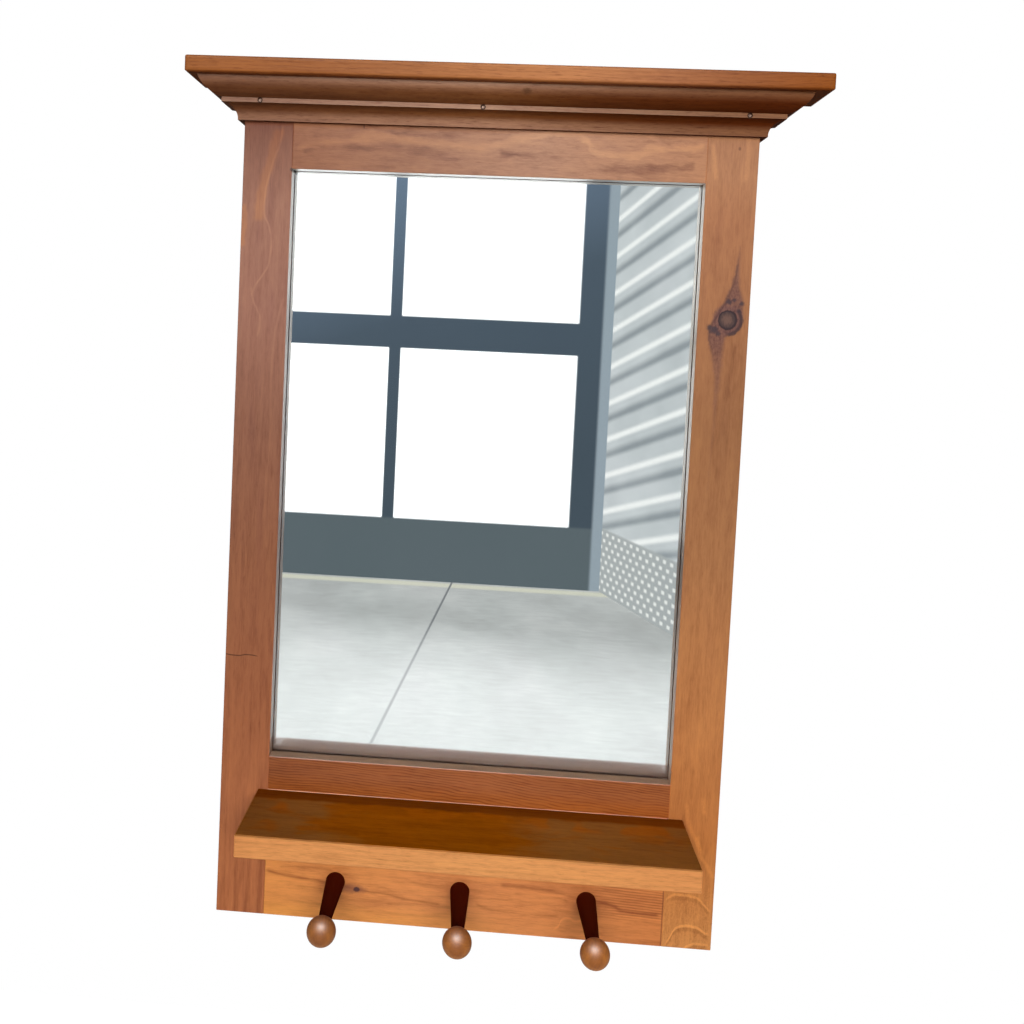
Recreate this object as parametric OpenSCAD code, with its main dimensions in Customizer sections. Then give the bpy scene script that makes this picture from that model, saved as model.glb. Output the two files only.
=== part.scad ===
// Wall mirror in a stained pine frame, with a moulded cornice above the
// glass, a small shelf below it and a rail with three turned pegs.
// Sizes are in millimetres. X runs to the right seen from the front, Y runs
// towards the wall and Z runs up. The back of the frame lies in the plane
// y = 0, and the origin is at the middle of the top rail's height.

/* [Frame] */
// Width of the frame over its two stiles
frame_w = 390; // [370:1:480]
// Height of the stiles
stile_l = 653; // [600:1:760]
// Width of a stile's face
stile_w = 38; // [36:0.5:44]
// Thickness of the frame's boards
frame_t = 19; // [18:0.5:24]
// Height of the top rail's face
top_rail_w = 63; // [60:1:90]
// Height of the face of the rail under the glass
middle_rail_w = 26.5; // [22:0.5:40]
// Height of the face of the rail that carries the pegs
peg_rail_w = 102; // [90:1:130]
// Bevel along the edges of the frame's boards
frame_arris = 0.4; // [0.2:0.1:1]

/* [Dowel joints] */
// Diameter of the dowels that join the rails to the stiles
dowel_d = 8; // [6:0.5:8]
// Length of a dowel
dowel_l = 40; // [30:1:44]
// Height of the lower dowel of the top rail above the rail's lower edge
top_dowel_inset = 15; // [14:0.5:18]
// Distance between the two dowels of the top rail
top_dowel_gap = 22; // [14:0.5:22]
// Distance of the peg rail's dowels from its upper and lower edges
peg_rail_dowel_inset = 25; // [12:0.5:36]

/* [Glass] */
// Depth of the rebate behind the frame's front lip
rebate_d = 8; // [7:0.1:10]
// Width of the rebate round the opening
rebate_w = 8; // [5:0.5:8]
// Thickness of the mirror glass
glass_t = 3; // [2:0.1:3.5]
// Play between the glass and the rebate's sides
glass_play = 1; // [0.5:0.1:2]
// Space left for the silvering between the glass and the backing
silvering_gap = 0.3; // [0.1:0.05:0.4]
// Thickness of the backing panel
panel_t = 2.5; // [1.5:0.1:3.5]

/* [Glazing points] */
// Thickness of a glazing point
point_t = 0.5; // [0.4:0.05:0.6]
// Width of a glazing point
point_w = 10; // [6:0.5:14]
// How far a glazing point is driven into the wood
point_bite = 7; // [5:0.5:8]
// Distance of the outer stile points from the opening's top and bottom
stile_point_inset = 77; // [68:1:120]
// Distance of the rail points from the opening's sides
rail_point_inset = 82; // [40:1:120]

/* [Cornice moulding] */
// Height of the moulding
crown_h = 28; // [26:0.5:32]
// How far the moulding stands out from the frame at its top
crown_p = 30; // [26:0.5:34]
// How far the lip at the moulding's foot stands out
lip_p = 4.5; // [2:0.5:8]
// Height of the lip
lip_h = 1; // [0.5:0.1:2]
// Radius of the cove
cove_r = 10.5; // [8:0.5:12]
// Height of the flat fillet above the cove
fillet_h = 3.5; // [3:0.1:5]
// Width of the small step between the fillet and the ovolo
ovolo_step = 0.5; // [0.2:0.1:1.5]
// Radius of the ovolo
ovolo_r = 20; // [16:0.5:30]

/* [Cornice board] */
// Thickness of the board on top of the moulding
board_t = 12.5; // [10:0.5:20]
// How far the board stands out in front of the frame
board_overhang = 37; // [34:0.5:50]
// How far the board stands out past the frame at each side, on average
board_side_overhang = 40; // [36:0.5:60]
// How far the board sits off the frame's middle, to the right
board_shift = 2; // [-3:0.5:3]
// Radius of the board's rounded edges
board_round = 2.5; // [1:0.5:4]

/* [Shelf] */
// Depth of the shelf
shelf_d = 78; // [60:1:110]
// Thickness of the shelf
shelf_t = 17; // [15:0.5:22]
// How far the shelf laps over each stile, on average
shelf_lap = 9.5; // [0:0.5:24]
// How far the shelf sits off the frame's middle, to the right
shelf_shift = 1.5; // [-3:0.5:3]
// Bevel along the edges of the shelf
shelf_arris = 0.8; // [0.4:0.1:2]

/* [Pegs] */
// Distance of the outer pegs from the peg rail's ends, on average
peg_inset = 58.3; // [40:0.1:90]
// How far the row of pegs sits off the frame's middle, to the right
peg_shift = -1.3; // [-5:0.1:5]
// Height of the pegs above the frame's lower edge
peg_h = 31.3; // [20:0.1:60]
// Diameter of a peg at the rail
peg_foot_d = 15.2; // [12:0.1:20]
// Diameter of a peg's neck behind the ball
peg_neck_d = 9.2; // [7:0.1:12]
// Radius of the cove between the neck and the ball
peg_cove_r = 4; // [2:0.5:6]
// Diameter of the ball
peg_ball_d = 21.4; // [16:0.1:30]
// Distance from the rail to the centre of the ball
peg_ball_out = 70; // [50:0.5:90]
// Diameter of the peg's tenon
tenon_d = 10; // [8:0.5:12]
// Length of the tenon
tenon_l = 14; // [10:0.5:16]

/* [Screws and nails] */
// Shank diameter of the board and shelf screws
screw_d = 4.5; // [3.5:0.1:5]
// Head diameter of the board and shelf screws
screw_head_d = 8.6; // [7:0.1:9.5]
// Length of the screws through the cornice board
board_screw_l = 40; // [30:1:50]
// Length of the screws through the peg rail into the shelf
shelf_screw_l = 41; // [30:1:60]
// Distance of the outer board and shelf screws from the rail's ends
screw_inset = 47; // [30:1:90]
// How far a screw's head lies below the wood's surface
screw_sink = 0.4; // [0.2:0.1:1]
// Shank diameter of the finish nails in the moulding
nail_d = 1.6; // [1.2:0.1:1.8]
// Head diameter of the finish nails
nail_head_d = 2; // [1.8:0.1:2.8]
// Diameter of the punch mark round a nail's head
nail_punch_d = 4; // [3:0.1:4.4]
// How far a nail's head lies below the moulding's surface
nail_sink = 0.6; // [0.3:0.1:1]
// Length of the nails in the front moulding
crown_nail_l = 30; // [22:0.5:31]
// How far the nails of the returns reach into the stiles
return_nail_bite = 9; // [6:0.5:9]
// Distance of the left front nail from the frame's side
nail_left_inset = 14.6; // [11.5:0.1:30]
// Distance of the right front nail from the frame's side
nail_right_inset = 11.8; // [11.5:0.1:30]
// How far the middle front nail sits off the frame's middle
nail_middle_shift = -12.2; // [-60:0.1:-6]

/* [Hangers] */
// Distance of the hanging points below the top rail's lower edge
hanger_drop = 30; // [29:0.5:60]
// Length of a keyhole plate
plate_l = 46; // [44:0.5:50]
// Width of a keyhole plate
plate_w = 16; // [15:0.5:17]
// Thickness of a keyhole plate
plate_t = 1.5; // [1:0.1:2]
// How far a plate lies below the frame's back
plate_sink = 0.2; // [0.1:0.1:0.5]
// Diameter of the hole that takes the head of a wall screw
keyhole_d = 9.5; // [8:0.1:10]
// Width of the slot that holds the shank of a wall screw
keyhole_slot_w = 5; // [4:0.1:5.5]
// Height of the hanging point above the centre of the head's hole
keyhole_rise = 11; // [9:0.5:12]
// Width of the pocket behind a plate
pocket_w = 11; // [10:0.5:12]
// Length of the pocket behind a plate
pocket_l = 24; // [23:0.5:28]
// Depth of the pocket from the frame's back
pocket_d = 10.5; // [8:0.5:14]
// Shank diameter of the plate screws
plate_screw_d = 3; // [2.5:0.1:3.2]
// Head diameter of the plate screws
plate_screw_head_d = 5.6; // [5:0.1:5.9]
// Length of the plate screws
plate_screw_l = 13; // [10:0.5:15]

/* [Fits] */
// Clearance round dowels, tenons, screws, nails and plates
fit = 0.1; // [0.05:0.05:0.2]
// Spare depth at the end of a blind hole
hole_spare = 0.5; // [0.2:0.1:1]

/* [Hidden] */
$fn = 64;

// Cuts run this far past a surface
past = 1;

// The opening in front of the glass, and the heights of the rails above
// the frame's lower edge
opening_w = frame_w - 2 * stile_w;
opening_z0 = peg_rail_w + middle_rail_w;
opening_z1 = stile_l - top_rail_w;
opening_h = opening_z1 - opening_z0;
origin_h = stile_l - top_rail_w / 2;
stile_x = (frame_w - stile_w) / 2;

// Heights of the dowels
top_dowel_z = [for (i = [0, 1]) opening_z1 + top_dowel_inset + i * top_dowel_gap];
middle_dowel_z = [peg_rail_w + (middle_rail_w - rebate_w) / 2];
peg_rail_dowel_z = [peg_rail_dowel_inset, peg_rail_w - peg_rail_dowel_inset];
dowel_chamfer = 0.8;

// The rebate, and the stack of glass, backing and points in it
rebate_x = opening_w / 2 + rebate_w;
rebate_z0 = opening_z0 - rebate_w;
rebate_z1 = opening_z1 + rebate_w;
glass_back = -rebate_d + glass_t;
panel_front = glass_back + silvering_gap;
panel_back = panel_front + panel_t;
point_back = panel_back + point_t;

// The moulding's profile, outwards from the frame and up from its foot
crown_z = stile_l - crown_h;
fillet_p = lip_p + cove_r;
fillet_z0 = lip_h + cove_r;
fillet_z1 = fillet_z0 + fillet_h;
ovolo_foot = [fillet_p + ovolo_step, fillet_z1];
ovolo_top = [crown_p, crown_h];
ovolo_chord = ovolo_top - ovolo_foot;
ovolo_rise = sqrt(pow(ovolo_r, 2) - pow(norm(ovolo_chord) / 2, 2));
ovolo_centre = (ovolo_foot + ovolo_top) / 2
    + ovolo_rise * [-ovolo_chord.y, ovolo_chord.x] / norm(ovolo_chord);

// The nails lie at the middle of the fillet
nail_z = crown_z + (fillet_z0 + fillet_z1) / 2;
crown_nail_x = [
    nail_left_inset - frame_w / 2, nail_middle_shift, frame_w / 2 - nail_right_inset
];
return_nail_l = fillet_p + return_nail_bite;
nail_head_h = 1.5;
punch_d = 1.5;

// The cornice board and the shelf
board_w = frame_w + 2 * board_side_overhang;
board_d = frame_t + board_overhang;
shelf_w = opening_w + 2 * shelf_lap;
screw_x = [for (i = [-1, 0, 1]) i * (opening_w / 2 - screw_inset)];

// The pegs
peg_x = [for (i = [-1, 0, 1]) peg_shift + i * (opening_w / 2 - peg_inset)];

// The cove's circle touches the neck's side at its foot and the ball at its end
cove_reach = (peg_ball_d / 2 + peg_cove_r) / (peg_ball_d / 2);
cove_drop = sqrt(pow(peg_ball_d / 2 + peg_cove_r, 2) - pow(peg_neck_d / 2 + peg_cove_r, 2));
peg_taper_l = peg_ball_out - cove_drop;
cove_centre = [peg_neck_d / 2 + peg_cove_r, peg_taper_l];
cove_end = [cove_centre.x / cove_reach, peg_ball_out - cove_drop / cove_reach];

// The hangers: the plate's screws lie this far from its ends
hanger_z = opening_z1 - hanger_drop;
plate_screw_inset = 5.5;
plate_drop = 5;
plate_z = hanger_z - plate_drop;
keyhole_z = hanger_z - keyhole_rise;
plate_screw_z = [for (s = [-1, 1]) plate_z + s * (plate_l / 2 - plate_screw_inset)];

// ---- Shapes that repeat ----

// Heights below are given from the frame's lower edge
module from_bottom() {
    translate([0, 0, -origin_h]) children();
}

// Rectangle with bevelled corners
module bevelled(w, h, e) {
    polygon([
        [e, 0], [w - e, 0], [w, e], [w, h - e],
        [w - e, h], [e, h], [0, h - e], [0, e]
    ]);
}

// Rectangle with rounded corners
module rounded(w, h, r) {
    translate([r, 0]) square([w - 2 * r, h]);
    translate([0, r]) square([w, h - 2 * r]);
    for (x = [r, w - r], y = [r, h - r]) translate([x, y]) circle(r);
}

// Slot-shaped outline with round ends, along Y
module obround(w, l) {
    square([w, l - w], center = true);
    for (s = [-1, 1]) translate([0, s * (l - w) / 2]) circle(d = w);
}

// Board between two corners, with a bevel along all its edges
module eased_board(low, high, e) {
    size = high - low;
    translate(low) intersection() {
        linear_extrude(size.z) bevelled(size.x, size.y, e);
        translate([0, size.y, 0]) rotate([90, 0, 0])
            linear_extrude(size.y) bevelled(size.x, size.z, e);
        rotate([90, 0, 90]) linear_extrude(size.x) bevelled(size.y, size.z, e);
    }
}

// Board between two corners, with all its edges rounded
module rounded_board(low, high, r) {
    size = high - low;
    translate(low) intersection() {
        linear_extrude(size.z) rounded(size.x, size.y, r);
        translate([0, size.y, 0]) rotate([90, 0, 0])
            linear_extrude(size.y) rounded(size.x, size.z, r);
        rotate([90, 0, 90]) linear_extrude(size.x) rounded(size.y, size.z, r);
    }
}

// Countersunk screw along Z, with its head's flat face at z = 0
module wood_screw(d, l, head_d) {
    head_h = (head_d - d) / 2;
    cross_w = d / 4;
    cross_l = head_d * 0.6;
    cross_d = head_h * 0.8;
    difference() {
        union() {
            translate([0, 0, -head_h]) cylinder(h = head_h, d1 = d, d2 = head_d);
            translate([0, 0, d - l]) cylinder(h = l - d - head_h, d = d);
            translate([0, 0, -l]) cylinder(h = d, d1 = d / 8, d2 = d);
        }
        for (a = [0, 90]) rotate(a)
            translate([-cross_l / 2, -cross_w / 2, -cross_d])
                cube([cross_l, cross_w, cross_d + past]);
    }
}

// Hole for such a screw, open above the sunk head
module screw_hole(d, l, head_d) {
    head_h = (head_d - d) / 2;
    translate([0, 0, -l - fit]) cylinder(h = l + fit, d = d + 2 * fit);
    translate([0, 0, -head_h])
        cylinder(h = head_h, d1 = d + 2 * fit, d2 = head_d + 2 * fit);
    cylinder(h = screw_sink + past, d = head_d + 2 * fit);
}

// Finish nail along Z, with the top of its head at z = 0
module finish_nail(l) {
    translate([0, 0, -nail_head_h]) cylinder(h = nail_head_h, d = nail_head_d);
    translate([0, 0, nail_d - l]) cylinder(h = l - nail_d - nail_head_h, d = nail_d);
    translate([0, 0, -l]) cylinder(h = nail_d, d1 = nail_d / 8, d2 = nail_d);
}

// Hole for such a nail, with the punch mark round its head
module nail_hole(l) {
    translate([0, 0, -l - fit]) cylinder(h = l + fit, d = nail_d + 2 * fit);
    translate([0, 0, -nail_head_h - fit])
        cylinder(h = nail_head_h + fit, d = nail_head_d + 2 * fit);
    translate([0, 0, nail_sink - punch_d]) cylinder(h = punch_d + past, d = nail_punch_d);
}

// ---- Places that several pieces share ----

// Dowels lie across the joints between the rails and the stiles
module at_dowels(heights) {
    for (s = [-1, 1], z = heights)
        translate([s * opening_w / 2, -frame_t / 2, z]) rotate([0, 90, 0]) children();
}

module dowel() {
    for (end = [0, 1]) mirror([0, 0, end]) {
        cylinder(h = dowel_l / 2 - dowel_chamfer, d = dowel_d);
        translate([0, 0, dowel_l / 2 - dowel_chamfer])
            cylinder(h = dowel_chamfer, d1 = dowel_d, d2 = dowel_d - 2 * dowel_chamfer);
    }
}

module dowel_hole() {
    cylinder(h = dowel_l + 2 * hole_spare, d = dowel_d + 2 * fit, center = true);
}

module at_board_screws() {
    for (x = screw_x)
        translate([x, -frame_t / 2, stile_l + board_t - screw_sink]) children();
}

module at_shelf_screws() {
    for (x = screw_x)
        translate([x, -screw_sink, peg_rail_w - shelf_t / 2]) rotate([-90, 0, 0]) children();
}

module at_crown_nails() {
    for (x = crown_nail_x)
        translate([x, nail_sink - frame_t - fillet_p, nail_z]) rotate([90, 0, 0]) children();
}

module at_return_nails() {
    for (s = [-1, 1])
        translate([s * (frame_w / 2 + fillet_p - nail_sink), -frame_t / 2, nail_z])
            rotate([0, s * 90, 0]) children();
}

// A glazing point's own X axis runs outwards, from the rebate's side into the wood
module at_glazing_points() {
    for (s = [-1, 1]) {
        for (z = [opening_z0 + stile_point_inset, (opening_z0 + opening_z1) / 2,
                  opening_z1 - stile_point_inset])
            translate([s * rebate_x, 0, z]) rotate([0, s < 0 ? 180 : 0, 0]) children();
        for (x = [-1, 1] * (opening_w / 2 - rail_point_inset))
            translate([x, 0, s < 0 ? rebate_z0 : rebate_z1])
                rotate([0, -s * 90, 0]) children();
    }
}

module point_kerf() {
    translate([-past, panel_back - fit, -point_w / 2 - fit])
        cube([point_bite + fit + past, point_t + 2 * fit, point_w + 2 * fit]);
}

module at_pegs() {
    for (x = peg_x) translate([x, -frame_t, peg_h]) rotate([90, 0, 0]) children();
}

module at_plates() {
    for (s = [-1, 1]) translate([s * stile_x, 0, plate_z]) rotate([90, 0, 0]) children();
}

module at_plate_screws() {
    for (s = [-1, 1], z = plate_screw_z)
        translate([s * stile_x, -plate_sink, z]) rotate([-90, 0, 0]) children();
}

// ---- Cuts in the frame ----

module rebate_cut() {
    translate([-rebate_x, -rebate_d, rebate_z0])
        cube([2 * rebate_x, rebate_d + past, rebate_z1 - rebate_z0]);
}

module hanger_cuts() {
    at_plates() {
        translate([0, 0, -past])
            linear_extrude(plate_t + plate_sink + past)
                obround(plate_w + 2 * fit, plate_l + 2 * fit);
        translate([0, 0, -past]) linear_extrude(pocket_d + past) obround(pocket_w, pocket_l);
    }
    at_plate_screws()
        translate([0, 0, -plate_screw_l - fit])
            cylinder(h = plate_screw_l + fit, d = plate_screw_d + 2 * fit);
}

// ---- Frame ----

module stile(side) {
    from_bottom() difference() {
        eased_board(
            [side * stile_x - stile_w / 2, -frame_t, 0],
            [side * stile_x + stile_w / 2, 0, stile_l],
            frame_arris
        );
        rebate_cut();
        at_glazing_points() point_kerf();
        at_dowels(concat(top_dowel_z, middle_dowel_z, peg_rail_dowel_z)) dowel_hole();
        at_crown_nails() nail_hole(crown_nail_l);
        at_return_nails() nail_hole(return_nail_l);
        hanger_cuts();
    }
}

module left_stile() {
    color([0.43, 0.25, 0.17]) stile(-1);
}

module right_stile() {
    color([0.55, 0.33, 0.17]) stile(1);
}

// Rail between the stiles, between two heights
module rail(z0, z1) {
    eased_board([-opening_w / 2, -frame_t, z0], [opening_w / 2, 0, z1], frame_arris);
}

module top_rail() {
    color([0.47, 0.30, 0.19]) from_bottom() difference() {
        rail(opening_z1, stile_l);
        rebate_cut();
        at_glazing_points() point_kerf();
        at_dowels(top_dowel_z) dowel_hole();
        at_board_screws() screw_hole(screw_d, board_screw_l, screw_head_d);
        at_crown_nails() nail_hole(crown_nail_l);
    }
}

module middle_rail() {
    color([0.47, 0.24, 0.13]) from_bottom() difference() {
        rail(peg_rail_w, opening_z0);
        rebate_cut();
        at_glazing_points() point_kerf();
        at_dowels(middle_dowel_z) dowel_hole();
    }
}

module peg_rail() {
    color([0.80, 0.50, 0.26]) from_bottom() difference() {
        rail(0, peg_rail_w);
        at_dowels(peg_rail_dowel_z) dowel_hole();
        at_shelf_screws() screw_hole(screw_d, shelf_screw_l, screw_head_d);
        at_pegs() translate([0, 0, -tenon_l - hole_spare])
            cylinder(h = tenon_l + hole_spare + past, d = tenon_d + 2 * fit);
    }
}

module top_rail_dowels() {
    color([0.82, 0.68, 0.47]) from_bottom() at_dowels(top_dowel_z) dowel();
}

module middle_rail_dowels() {
    color([0.82, 0.68, 0.47]) from_bottom() at_dowels(middle_dowel_z) dowel();
}

module peg_rail_dowels() {
    color([0.82, 0.68, 0.47]) from_bottom() at_dowels(peg_rail_dowel_z) dowel();
}

// ---- Cornice ----

module cornice_board() {
    color([0.72, 0.45, 0.27]) from_bottom() difference() {
        rounded_board(
            [board_shift - board_w / 2, -board_d, stile_l],
            [board_shift + board_w / 2, 0, stile_l + board_t],
            board_round
        );
        at_board_screws() screw_hole(screw_d, board_screw_l, screw_head_d);
    }
}

module board_screws() {
    color([0.70, 0.66, 0.50]) from_bottom()
        at_board_screws() wood_screw(screw_d, board_screw_l, screw_head_d);
}

// Section of the moulding: lip, cove, fillet, step and ovolo
module crown_profile() {
    square([lip_p, lip_h]);
    difference() {
        translate([0, lip_h]) square([fillet_p, cove_r + fillet_h]);
        translate([fillet_p, lip_h]) circle(cove_r);
    }
    intersection() {
        translate([0, fillet_z1]) square([crown_p, crown_h - fillet_z1]);
        union() {
            square([ovolo_centre.x, crown_h]);
            translate(ovolo_centre) circle(ovolo_r);
        }
    }
}

module crown_front() {
    half = frame_w / 2 + crown_p;
    color([0.42, 0.25, 0.16]) from_bottom() difference() {
        intersection() {
            translate([half, -frame_t, crown_z]) rotate([90, 0, -90])
                linear_extrude(2 * half) crown_profile();
            translate([0, 0, crown_z]) linear_extrude(crown_h) polygon([
                [-frame_w / 2, -frame_t], [frame_w / 2, -frame_t],
                [half, -frame_t - crown_p], [-half, -frame_t - crown_p]
            ]);
        }
        at_crown_nails() nail_hole(crown_nail_l);
    }
}

// The left return; the right one is its mirror image
module crown_return() {
    outside = frame_w / 2 + crown_p;
    difference() {
        intersection() {
            translate([-frame_w / 2, -frame_t - crown_p, crown_z]) rotate([90, 0, 180])
                linear_extrude(frame_t + crown_p) crown_profile();
            translate([0, 0, crown_z]) linear_extrude(crown_h) polygon([
                [-frame_w / 2, 0], [-frame_w / 2, -frame_t],
                [-outside, -frame_t - crown_p], [-outside, 0]
            ]);
        }
        at_return_nails() nail_hole(return_nail_l);
    }
}

module crown_return_left() {
    color([0.42, 0.25, 0.16]) from_bottom() crown_return();
}

module crown_return_right() {
    color([0.42, 0.25, 0.16]) from_bottom() mirror([1, 0, 0]) crown_return();
}

module crown_nails() {
    color([0.45, 0.42, 0.40]) from_bottom() at_crown_nails() finish_nail(crown_nail_l);
}

module return_nails() {
    color([0.45, 0.42, 0.40]) from_bottom() at_return_nails() finish_nail(return_nail_l);
}

// ---- Shelf and pegs ----

module shelf() {
    color([0.62, 0.36, 0.16]) from_bottom() difference() {
        eased_board(
            [shelf_shift - shelf_w / 2, -frame_t - shelf_d, peg_rail_w - shelf_t],
            [shelf_shift + shelf_w / 2, -frame_t, peg_rail_w],
            shelf_arris
        );
        at_shelf_screws() screw_hole(screw_d, shelf_screw_l, screw_head_d);
    }
}

module shelf_screws() {
    color([0.70, 0.66, 0.50]) from_bottom()
        at_shelf_screws() wood_screw(screw_d, shelf_screw_l, screw_head_d);
}

// Turned peg along Z: tenon, tapered shank, cove that flares from the neck, and ball
module peg() {
    translate([0, 0, -tenon_l]) cylinder(h = tenon_l, d = tenon_d);
    cylinder(h = peg_taper_l, d1 = peg_foot_d, d2 = peg_neck_d);
    rotate_extrude() difference() {
        polygon([
            [0, peg_taper_l], [cove_centre.x, peg_taper_l], cove_end, [0, cove_end.y]
        ]);
        translate(cove_centre) circle(peg_cove_r);
    }
    translate([0, 0, peg_ball_out]) sphere(d = peg_ball_d);
}

module peg_at(i) {
    color([0.45, 0.22, 0.14]) from_bottom()
        translate([peg_x[i], -frame_t, peg_h]) rotate([90, 0, 0]) peg();
}

module peg_left() {
    peg_at(0);
}

module peg_centre() {
    peg_at(1);
}

module peg_right() {
    peg_at(2);
}

// ---- Mirror and its backing ----

// Sheet that lies in the rebate between two depths
module rebate_sheet(y0, y1) {
    translate([glass_play - rebate_x, y0, rebate_z0 + glass_play])
        cube([
            2 * (rebate_x - glass_play), y1 - y0, rebate_z1 - rebate_z0 - 2 * glass_play
        ]);
}

module mirror_glass() {
    color([0.80, 0.86, 0.88]) from_bottom() rebate_sheet(-rebate_d, glass_back);
}

module backing_panel() {
    color([0.48, 0.36, 0.25]) from_bottom() rebate_sheet(panel_front, panel_back);
}

// Flat steel point: its tail lies on the backing panel and its tip is in the wood
module glazing_point() {
    tip_l = point_w / 4;
    translate([0, point_back, 0]) rotate([90, 0, 0]) linear_extrude(point_t) polygon([
        [-rebate_w, -point_w / 2], [point_bite - tip_l, -point_w / 2], [point_bite, 0],
        [point_bite - tip_l, point_w / 2], [-rebate_w, point_w / 2]
    ]);
}

module glazing_points() {
    color([0.66, 0.68, 0.70]) from_bottom() at_glazing_points() glazing_point();
}

// ---- Hangers ----

// Keyhole plate let into the back of a stile
module hanger_plate(side) {
    keyhole_y = keyhole_z - plate_z;
    slot_l = keyhole_rise + keyhole_slot_w / 2;
    color([0.74, 0.70, 0.55]) from_bottom() difference() {
        translate([side * stile_x, -plate_sink, plate_z]) rotate([90, 0, 0])
            linear_extrude(plate_t) difference() {
                obround(plate_w, plate_l);
                translate([0, keyhole_y]) circle(d = keyhole_d);
                translate([0, plate_drop - slot_l / 2]) obround(keyhole_slot_w, slot_l);
            }
        at_plate_screws() screw_hole(plate_screw_d, plate_screw_l, plate_screw_head_d);
    }
}

module hanger_plate_left() {
    hanger_plate(-1);
}

module hanger_plate_right() {
    hanger_plate(1);
}

module hanger_screws() {
    color([0.74, 0.70, 0.55]) from_bottom()
        at_plate_screws() wood_screw(plate_screw_d, plate_screw_l, plate_screw_head_d);
}

left_stile();
right_stile();
top_rail();
middle_rail();
peg_rail();
top_rail_dowels();
middle_rail_dowels();
peg_rail_dowels();
cornice_board();
board_screws();
crown_front();
crown_return_left();
crown_return_right();
crown_nails();
return_nails();
shelf();
shelf_screws();
peg_left();
peg_centre();
peg_right();
mirror_glass();
backing_panel();
glazing_points();
hanger_plate_left();
hanger_plate_right();
hanger_screws();
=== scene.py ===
"""Looks of a wall mirror in a stained pine frame with a cornice, a shelf and three pegs."""

import functools
import math

import bmesh
import bpy
from mathutils import Euler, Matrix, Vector, noise

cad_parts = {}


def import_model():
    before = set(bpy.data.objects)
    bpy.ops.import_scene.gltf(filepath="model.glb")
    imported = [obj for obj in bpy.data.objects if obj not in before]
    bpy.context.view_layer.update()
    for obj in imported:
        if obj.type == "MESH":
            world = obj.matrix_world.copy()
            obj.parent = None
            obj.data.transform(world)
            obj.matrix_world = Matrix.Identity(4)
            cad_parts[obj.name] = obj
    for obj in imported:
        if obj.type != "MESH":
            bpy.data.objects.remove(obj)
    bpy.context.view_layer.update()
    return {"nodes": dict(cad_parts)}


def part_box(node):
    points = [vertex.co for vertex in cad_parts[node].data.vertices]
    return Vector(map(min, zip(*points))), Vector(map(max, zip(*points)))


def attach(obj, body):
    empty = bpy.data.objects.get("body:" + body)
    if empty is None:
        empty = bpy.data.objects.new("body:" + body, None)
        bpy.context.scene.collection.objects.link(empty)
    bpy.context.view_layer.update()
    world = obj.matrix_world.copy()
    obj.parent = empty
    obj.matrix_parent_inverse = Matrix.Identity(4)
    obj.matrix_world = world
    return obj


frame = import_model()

nodes = frame["nodes"]
MM = 0.001

# The frame's opening in front of the glass, in millimetres from the object's origin.
OPENING_HALF = 157.0
OPENING_TOP = -31.5
OPENING_FOOT = -493.0


# ---- Node trees written as arithmetic ----

# The noise node's values lie close to 0.5. This spreads them from about -1 to 1.
NOISE_GAIN = 3.2


class Value:
    """A number, colour or vector in a node tree. Arithmetic on numbers adds Math nodes."""

    def __init__(self, tree, socket):
        self.tree = tree
        self.socket = socket

    def __add__(self, other):
        return self.tree.math("ADD", self, other)

    def __sub__(self, other):
        return self.tree.math("SUBTRACT", self, other)

    def __rsub__(self, other):
        return self.tree.math("SUBTRACT", other, self)

    def __mul__(self, other):
        return self.tree.math("MULTIPLY", self, other)

    def __truediv__(self, other):
        return self.tree.math("DIVIDE", self, other)

    def __abs__(self):
        return self.tree.math("ABSOLUTE", self)

    __radd__ = __add__
    __rmul__ = __mul__

    def fraction(self):
        return self.tree.math("FRACT", self)

    def greater(self, other):
        """The larger of two numbers."""
        return self.tree.math("MAXIMUM", self, other)

    def lesser(self, other):
        """The smaller of two numbers."""
        return self.tree.math("MINIMUM", self, other)

    def hypot(self, other):
        """Length of the vector that two numbers make."""
        return self.tree.math("SQRT", self * self + other * other)

    def rise(self, low, high):
        """0 below low, 1 above high and smooth between; falls if low is above high."""
        node = self.tree.add("ShaderNodeMapRange", interpolation_type="SMOOTHSTEP")
        start, end = (0, 1) if low < high else (1, 0)
        for name, number in (
            ("Value", self), ("From Min", min(low, high)), ("From Max", max(low, high)),
            ("To Min", start), ("To Max", end),
        ):
            self.tree.set(node.inputs[name], number)
        return Value(self.tree, node.outputs["Result"])


def union(masks):
    """Where any of the masks is on."""
    return functools.reduce(Value.greater, masks)


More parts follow.
